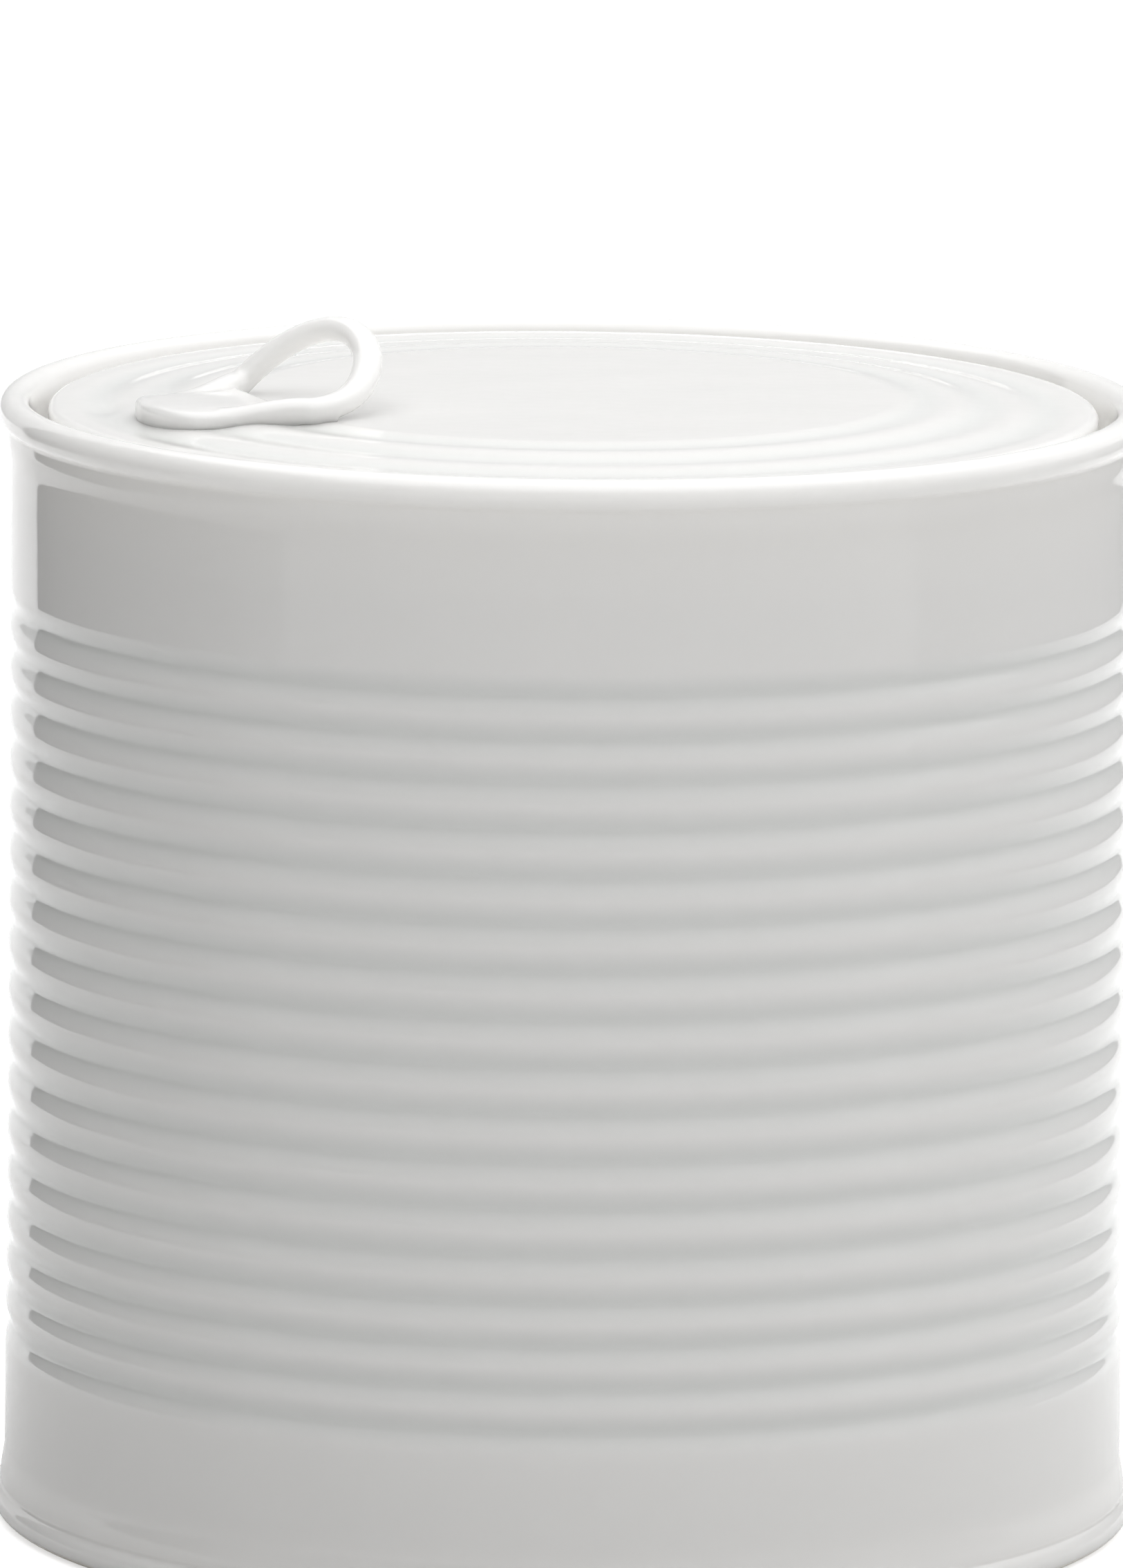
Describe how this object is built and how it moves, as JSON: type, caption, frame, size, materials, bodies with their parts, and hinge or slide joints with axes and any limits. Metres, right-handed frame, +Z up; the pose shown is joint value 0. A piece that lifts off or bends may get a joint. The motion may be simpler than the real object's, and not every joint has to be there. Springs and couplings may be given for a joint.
{
  "type": "lidded storage jar",
  "caption": "Round white glazed porcelain jar shaped like a ribbed food tin, with a drop-in lid lifted by a ring-pull handle.",
  "frame": {"origin": "centre of the foot ring, on the surface the jar stands on", "axes": "+Z up along the jar's axis, -Y towards the front, +X to the right of the front"},
  "size_m": [0.156, 0.156, 0.1654],
  "materials": {
    "porcelain_body": "clear gloss glaze, foot ring unglazed",
    "porcelain_lid": "clear gloss glaze",
    "porcelain_handle": "clear gloss glaze"
  },
  "bodies": {
    "jar": {"jar_body": "porcelain_body"},
    "lid": {"lid": "porcelain_lid", "ring_pull": "porcelain_handle"}
  },
  "joints": [
    {"name": "lid_lift", "type": "slide", "parent": "jar", "child": "lid", "axis": [0, 0, 1], "range_m": [0, 0.06]}
  ]
}
